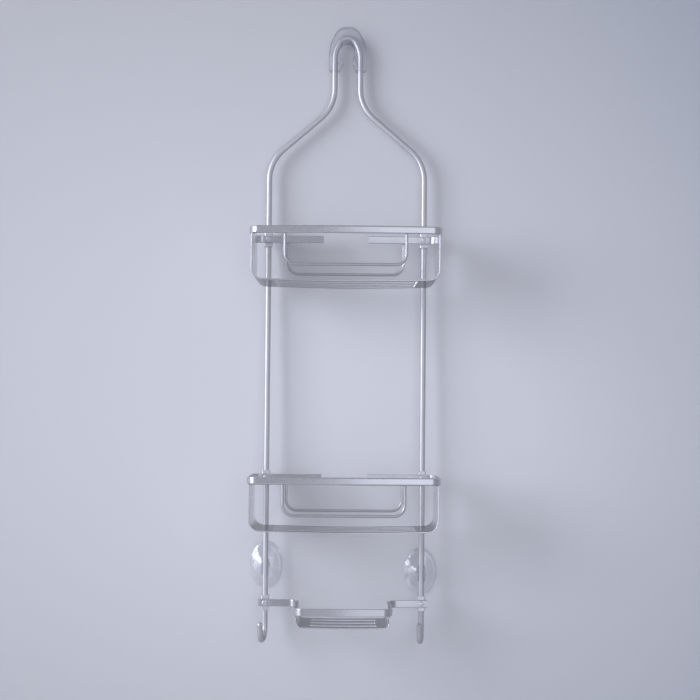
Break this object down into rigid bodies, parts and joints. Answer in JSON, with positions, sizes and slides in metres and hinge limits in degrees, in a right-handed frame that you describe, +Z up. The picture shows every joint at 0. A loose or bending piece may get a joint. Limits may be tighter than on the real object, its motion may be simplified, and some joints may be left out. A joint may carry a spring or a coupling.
{
  "type": "shower caddy",
  "caption": "Hanging shower caddy: a bent round-rod frame with a clear arm grip, strip-rimmed baskets, a soap dish, towel hooks and clear suction cups.",
  "frame": {"origin": "centre of the round seat in the grip sleeve, on the middle plane of the rod frame", "axes": "+X to the right, +Y towards the wall along the shower arm, +Z up along the legs"},
  "size_m": [0.2672, 0.1398, 0.864],
  "materials": {
    "rod": "satin anodised",
    "strip": "satin anodised",
    "sheet": "satin anodised",
    "wire": "satin anodised",
    "clamp": "bead blasted",
    "screw": "turned",
    "rivet": "pressed",
    "vinyl": "clear, soft, glossy",
    "cup": "clear, soft, glossy",
    "clip": "clear, glossy"
  },
  "bodies": {
    "frame": {"frame_rod": "rod", "grip_sleeve": "vinyl"},
    "upper_basket": {"upper_rim": "strip", "upper_tray": "sheet", "upper_front_guard": "wire", "upper_rear_guard": "wire", "upper_left_clamp": "clamp", "upper_right_clamp": "clamp", "upper_screws": "screw", "upper_rivets": "rivet"},
    "lower_basket": {"lower_rim": "strip", "lower_tray": "sheet", "lower_front_guard": "wire", "lower_rear_guard": "wire", "lower_left_clamp": "clamp", "lower_right_clamp": "clamp", "lower_screws": "screw", "lower_rivets": "rivet"},
    "soap_dish": {"dish_rim": "strip", "dish_tray": "sheet", "dish_left_clamp": "clamp", "dish_right_clamp": "clamp", "dish_screws": "screw", "dish_rivets": "rivet"},
    "left_clip": {"left_cup_clip": "clip"},
    "left_suction_cup": {"left_cup": "cup"},
    "right_clip": {"right_cup_clip": "clip"},
    "right_suction_cup": {"right_cup": "cup"}
  },
  "joints": [
    {"name": "upper_basket_slide", "type": "slide", "parent": "frame", "child": "upper_basket", "axis": [0, 0, 1], "range_m": [-0.09, 0.06]},
    {"name": "lower_basket_slide", "type": "slide", "parent": "frame", "child": "lower_basket", "axis": [0, 0, 1], "range_m": [-0.05, 0.08]},
    {"name": "soap_dish_slide", "type": "slide", "parent": "frame", "child": "soap_dish", "axis": [0, 0, 1], "range_m": [-0.015, 0.008]},
    {"name": "left_clip_slide", "type": "slide", "parent": "frame", "child": "left_clip", "axis": [0, 0, 1], "range_m": [-0.008, 0.02]},
    {"name": "right_clip_slide", "type": "slide", "parent": "frame", "child": "right_clip", "axis": [0, 0, 1], "range_m": [-0.008, 0.02]},
    {"name": "left_cup_turn", "type": "hinge", "parent": "left_clip", "child": "left_suction_cup", "pos_m": [-0.1094, 0.01, -0.7306], "axis": [0, 1, 0], "continuous": true},
    {"name": "right_cup_turn", "type": "hinge", "parent": "right_clip", "child": "right_suction_cup", "pos_m": [0.1094, 0.01, -0.738], "axis": [0, 1, 0], "continuous": true}
  ]
}
